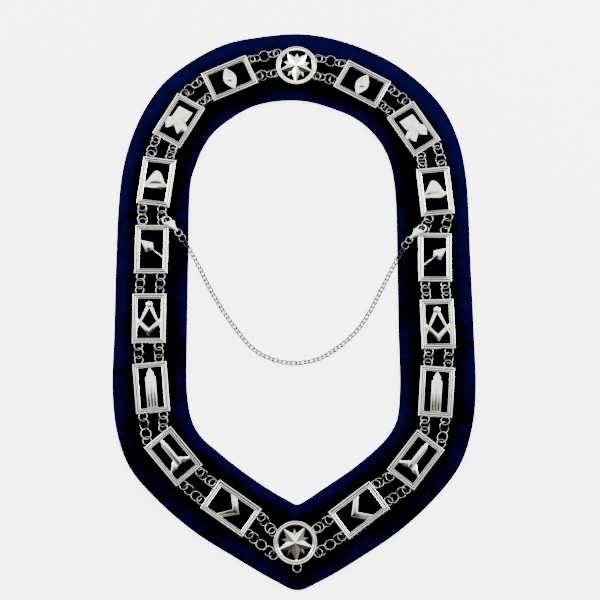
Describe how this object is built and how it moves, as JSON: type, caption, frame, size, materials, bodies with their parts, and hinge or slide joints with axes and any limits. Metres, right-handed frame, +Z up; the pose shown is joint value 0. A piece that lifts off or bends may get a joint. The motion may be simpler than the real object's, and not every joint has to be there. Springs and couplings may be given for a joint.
{
  "type": "masonic collar",
  "caption": "Velvet collar of office with pierced silver plaques linked by jump rings, star medallions and a safety chain across the neck opening",
  "frame": {"origin": "under the middle of the lying collar, on the surface it rests on", "axes": "+Z up from the surface, +Y from the breast point to the nape, +X to the right of the picture"},
  "size_m": [0.359, 0.569, 0.011],
  "materials": {
    "silver": "polished silver plate",
    "chain_silver": "bright silver chain links",
    "velvet": "deep navy velvet pile"
  },
  "bodies": {
    "collar": {"backing_band": "velvet", "plaque_left_1": "silver", "plaque_left_2": "silver", "plaque_left_3": "silver", "plaque_left_4": "silver", "plaque_left_5": "silver", "plaque_left_6": "silver", "plaque_left_7": "silver", "plaque_left_8": "silver", "rings_left_1_outer": "silver", "rings_left_1_inner": "silver", "rings_left_2_outer": "silver", "rings_left_2_inner": "silver", "rings_left_3_outer": "silver", "rings_left_3_inner": "silver", "rings_left_4_outer": "silver", "rings_left_4_inner": "silver", "rings_left_5_outer": "silver", "rings_left_5_inner": "silver", "rings_left_6_outer": "silver", "rings_left_6_inner": "silver", "rings_left_7_outer": "silver", "rings_left_7_inner": "silver", "rings_left_8_outer": "silver", "rings_left_8_inner": "silver", "rings_left_9_outer": "silver", "rings_left_9_inner": "silver", "clasp_left": "silver", "plaque_right_1": "silver", "plaque_right_2": "silver", "plaque_right_3": "silver", "plaque_right_4": "silver", "plaque_right_5": "silver", "plaque_right_6": "silver", "plaque_right_7": "silver", "plaque_right_8": "silver", "rings_right_1_outer": "silver", "rings_right_1_inner": "silver", "rings_right_2_outer": "silver", "rings_right_2_inner": "silver", "rings_right_3_outer": "silver", "rings_right_3_inner": "silver", "rings_right_4_outer": "silver", "rings_right_4_inner": "silver", "rings_right_5_outer": "silver", "rings_right_5_inner": "silver", "rings_right_6_outer": "silver", "rings_right_6_inner": "silver", "rings_right_7_outer": "silver", "rings_right_7_inner": "silver", "rings_right_8_outer": "silver", "rings_right_8_inner": "silver", "rings_right_9_outer": "silver", "rings_right_9_inner": "silver", "clasp_right": "silver", "medallion_top": "silver", "medallion_bottom": "silver", "safety_chain": "chain_silver"},
    "lever_left": {"clasp_lever_left": "silver"},
    "lever_right": {"clasp_lever_right": "silver"}
  },
  "joints": [
    {"name": "left_clasp_lever", "type": "hinge", "parent": "collar", "child": "lever_left", "pos_m": [-0.12306, 0.07866, 0.00644], "axis": [0.2807, 0.2486, 0.927], "range_deg": [0, 15], "stiffness_Nm_per_rad": 0.0005},
    {"name": "right_clasp_lever", "type": "hinge", "parent": "collar", "child": "lever_right", "pos_m": [0.12272, 0.07029, 0.0068], "axis": [0.2933, -0.3258, -0.8988], "range_deg": [0, 15], "stiffness_Nm_per_rad": 0.0005}
  ]
}
